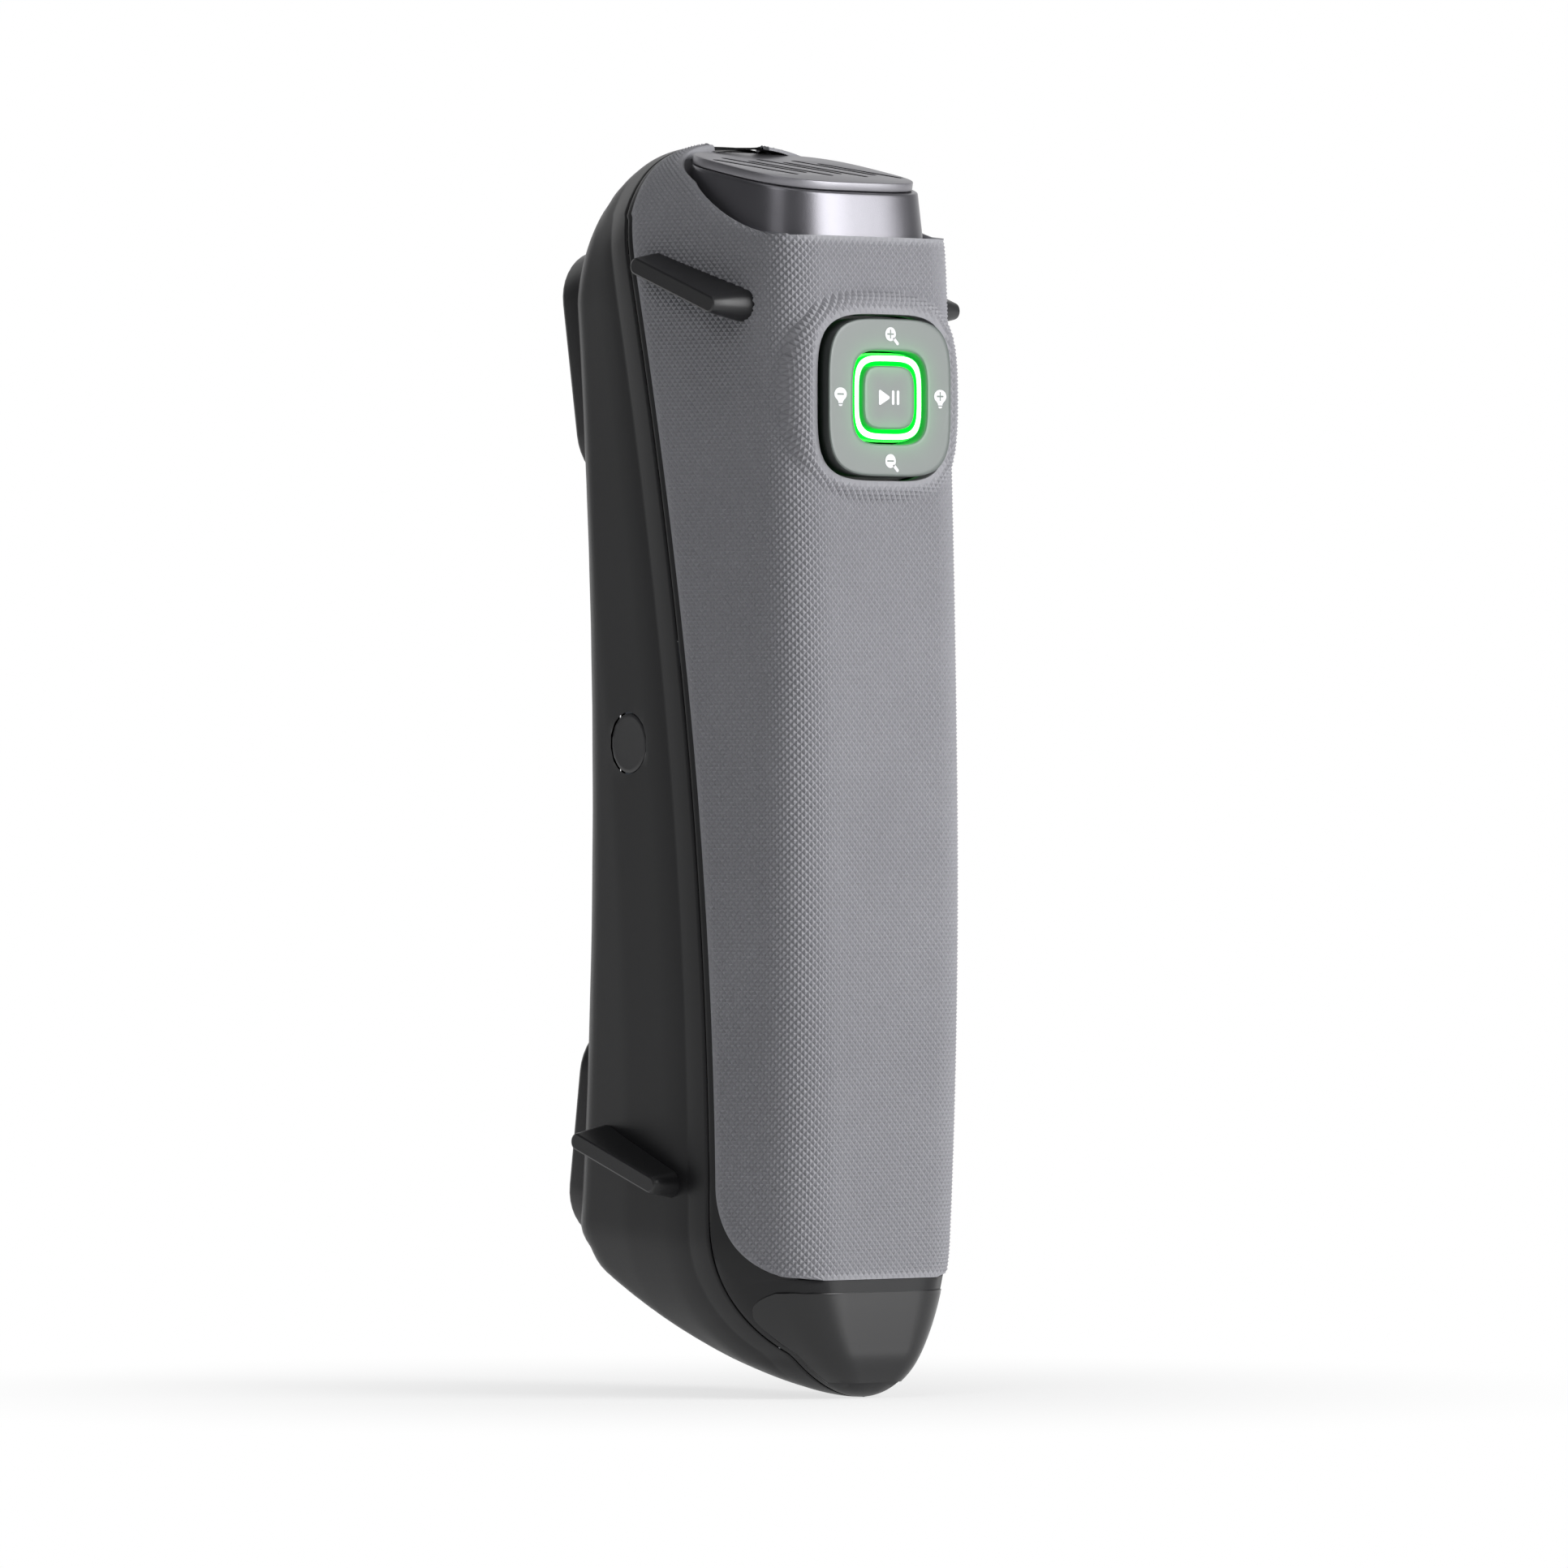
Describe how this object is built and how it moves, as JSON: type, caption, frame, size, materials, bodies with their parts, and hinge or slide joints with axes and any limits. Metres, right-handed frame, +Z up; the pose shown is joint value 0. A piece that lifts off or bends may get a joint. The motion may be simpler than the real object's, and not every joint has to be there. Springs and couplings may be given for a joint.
{
  "type": "handheld 3d scanner",
  "caption": "Handheld structured-light scanner with toe-in camera pods, textured grip, rocker pad with lit ring, vented metal cap and side rest feet.",
  "frame": {"origin": "under the middle of the bounding box, at the lowest point of the heel", "axes": "+Z up along the body, from heel to vented cap; -Y out of the camera pods; +Y out of the button pad; X across, a mirror plane but for the slots and signs"},
  "size_m": [0.071, 0.0828, 0.2704],
  "materials": {
    "black_abs": "fine moulded grain",
    "black_rubber": "matt",
    "grip_elastomer": "moulded pyramid texture, satin",
    "label_bare": "smooth bare plate",
    "cap_metal": "bead blasted, anodised grey",
    "foot_plastic": "moulded",
    "plug_plastic": "moulded",
    "brass": "turned",
    "dark_window": "polished tinted cover",
    "white_board": "solder mask white",
    "lens_metal": "black anodised",
    "lens_glass": "coated",
    "green_board": "solder mask green",
    "bench_metal": "milled",
    "steel": "zinc plated",
    "chip_black": "moulded",
    "ribbon": "flexible film",
    "white_nylon": "moulded",
    "pad_plastic": "satin moulded",
    "ring_light": "diffusing light guide, glows green",
    "fan_plastic": "moulded",
    "socket_metal": "nickel plated",
    "gold_pins": "gold plated"
  },
  "bodies": {
    "body": {"front_shell": "black_abs", "back_shell": "black_abs", "shell_seal": "black_rubber", "grip_skin": "grip_elastomer", "label_plate": "label_bare", "cap_collar": "cap_metal", "vent_plate": "cap_metal", "upper_foot_left": "foot_plastic", "upper_foot_right": "foot_plastic", "lower_foot_left": "foot_plastic", "lower_foot_right": "foot_plastic", "side_plug_left": "plug_plastic", "side_plug_right": "plug_plastic", "side_inserts": "brass", "pod_window_upper": "dark_window", "pod_window_lower": "dark_window", "led_board_upper": "white_board", "led_board_lower": "white_board", "lens_barrel_upper": "lens_metal", "lens_barrel_lower": "lens_metal", "lens_glass_upper": "lens_glass", "lens_glass_lower": "lens_glass", "sensor_board_upper": "green_board", "sensor_board_lower": "green_board", "camera_bracket_upper": "bench_metal", "camera_bracket_lower": "bench_metal", "centre_window": "dark_window", "laser_block": "bench_metal", "laser_module_upper": "brass", "laser_module_lower": "brass", "colour_camera": "lens_metal", "optical_bench": "bench_metal", "bench_screws": "steel", "case_screws": "steel", "board_posts": "brass", "main_board": "green_board", "board_screws": "steel", "main_chips": "chip_black", "heat_sink": "bench_metal", "ribbon_cable": "ribbon", "key_board": "green_board", "key_screws": "steel", "dome_mat": "black_rubber", "keypad_tray": "black_abs", "light_ring": "ring_light", "air_duct": "black_abs", "fan_frame": "fan_plastic", "connector_socket": "socket_metal", "connector_pins": "gold_pins"},
    "gimbal": {"rocker_gimbal": "white_nylon"},
    "pad": {"rocker_pad": "pad_plastic"},
    "key": {"centre_key": "pad_plastic"},
    "rotor": {"fan_rotor": "fan_plastic"}
  },
  "joints": [
    {"name": "zoom_tilt", "type": "hinge", "parent": "body", "child": "gimbal", "pos_m": [0, 0.03042, 0.2144], "axis": [1, 0, 0], "range_deg": [-2.5, 2.5], "stiffness_Nm_per_rad": 1.2},
    {"name": "light_tilt", "type": "hinge", "parent": "gimbal", "child": "pad", "pos_m": [0, 0.03042, 0.2144], "axis": [0, 0, 1], "range_deg": [-2.5, 2.5], "stiffness_Nm_per_rad": 1.2},
    {"name": "key_press", "type": "slide", "parent": "body", "child": "key", "axis": [0, -1, 0], "range_m": [0, 0.0008], "stiffness_N_per_m": 900},
    {"name": "fan_spin", "type": "hinge", "parent": "body", "child": "rotor", "pos_m": [0, 0.01102, 0.238], "axis": [0, 0, 1], "continuous": true}
  ]
}
